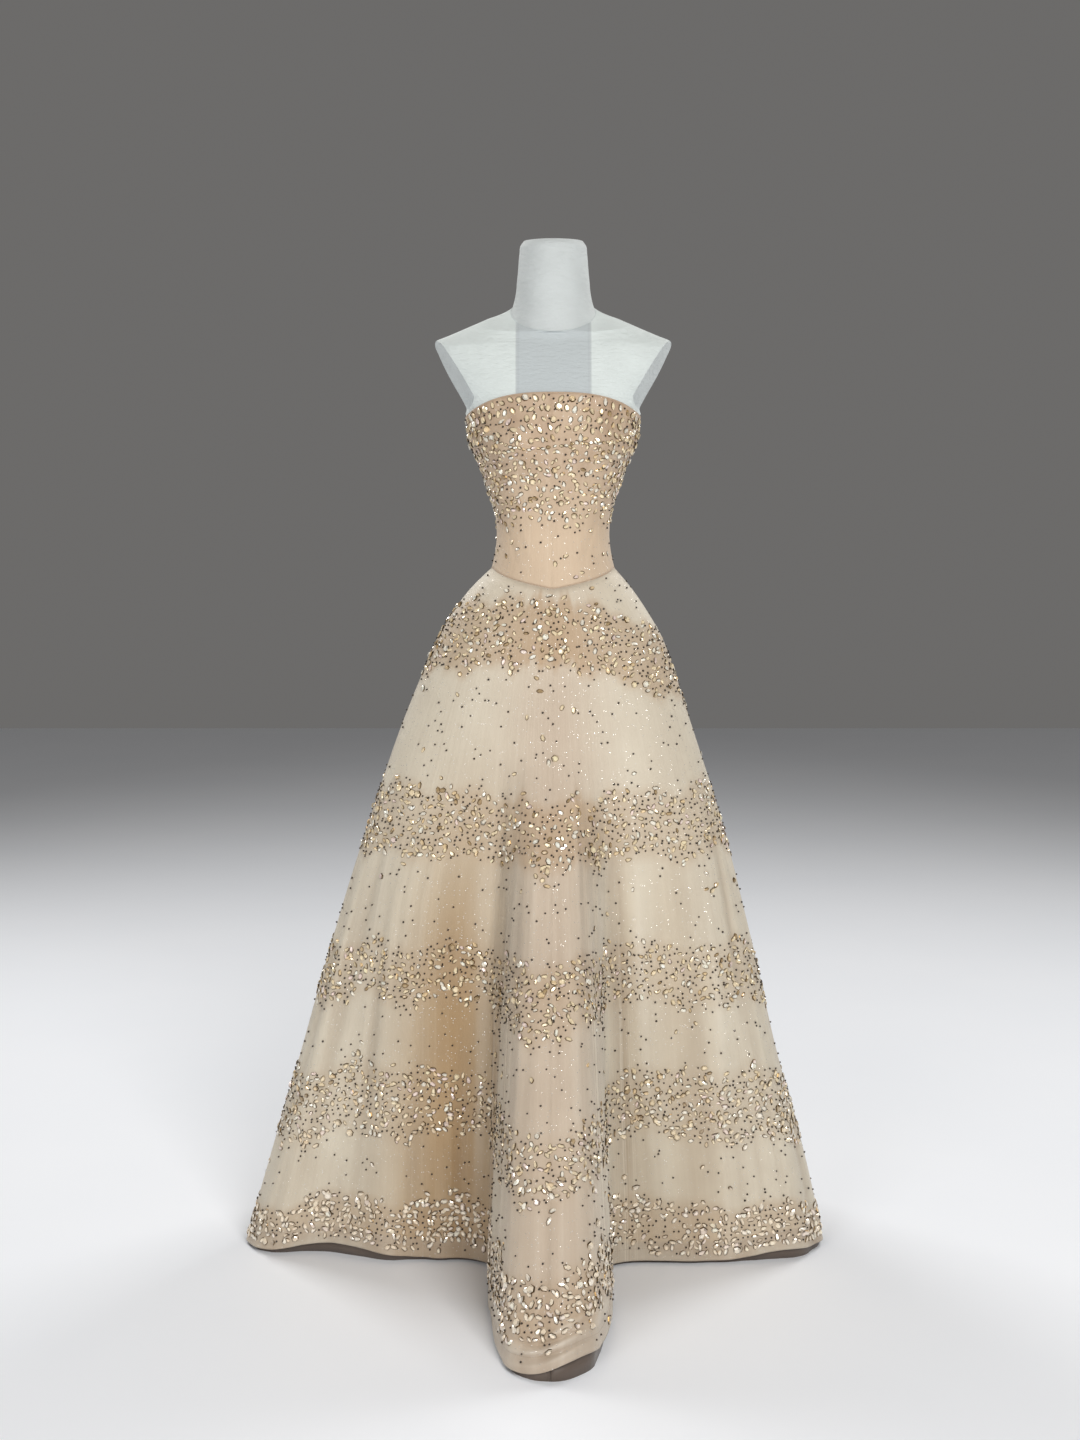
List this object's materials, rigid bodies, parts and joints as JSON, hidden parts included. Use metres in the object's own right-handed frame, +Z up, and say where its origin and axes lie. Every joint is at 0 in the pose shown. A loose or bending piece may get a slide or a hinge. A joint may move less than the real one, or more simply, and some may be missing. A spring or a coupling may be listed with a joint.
{
  "type": "a-line evening gown on a dress form",
  "caption": "Strapless full-length gown with a pointed waist, a tall pipe fold in front and an underskirt, worn by a limbless dress form on a stand inside the skirt.",
  "frame": {"origin": "on the floor, under the middle of the dress form's stand", "axes": "+Z up, the wearer's front faces -Y, +X is the wearer's left"},
  "size_m": [0.9902, 0.9646, 1.682],
  "materials": {
    "beaded_tulle": "sheer nude tulle over satin, beaded",
    "glitter_tulle": "sheer champagne tulle with fine glitter",
    "brown_lining": "taupe satin lining",
    "zip_tape": "woven tape",
    "zip_metal": "lacquered",
    "form_cover": "smooth white stretch cover",
    "stand_metal": "satin grey"
  },
  "bodies": {
    "gown": {"bodice_front": "beaded_tulle", "bodice_back_left": "beaded_tulle", "bodice_back_right": "beaded_tulle", "skirt_front": "glitter_tulle", "skirt_back_left": "glitter_tulle", "skirt_back_right": "glitter_tulle", "zip_tape": "zip_tape", "zip_slider": "zip_metal", "form_body": "form_cover", "form_neck": "form_cover", "form_pole": "stand_metal", "form_hub": "stand_metal", "form_leg_1": "stand_metal", "form_leg_2": "stand_metal", "form_leg_3": "stand_metal", "form_leg_4": "stand_metal", "underskirt_front_right": "brown_lining", "underskirt_panel_right": "brown_lining", "underskirt_side_right": "brown_lining", "underskirt_back_right": "brown_lining", "underskirt_back_left": "brown_lining", "underskirt_side_left": "brown_lining", "underskirt_panel_left": "brown_lining", "underskirt_front_left": "brown_lining"},
    "pull": {"zip_pull": "zip_metal"}
  },
  "joints": [
    {"name": "pull_hinge", "type": "hinge", "parent": "gown", "child": "pull", "pos_m": [0, 0.09752, 1.37367], "axis": [1, 0, 0], "range_deg": [0, 150]}
  ]
}
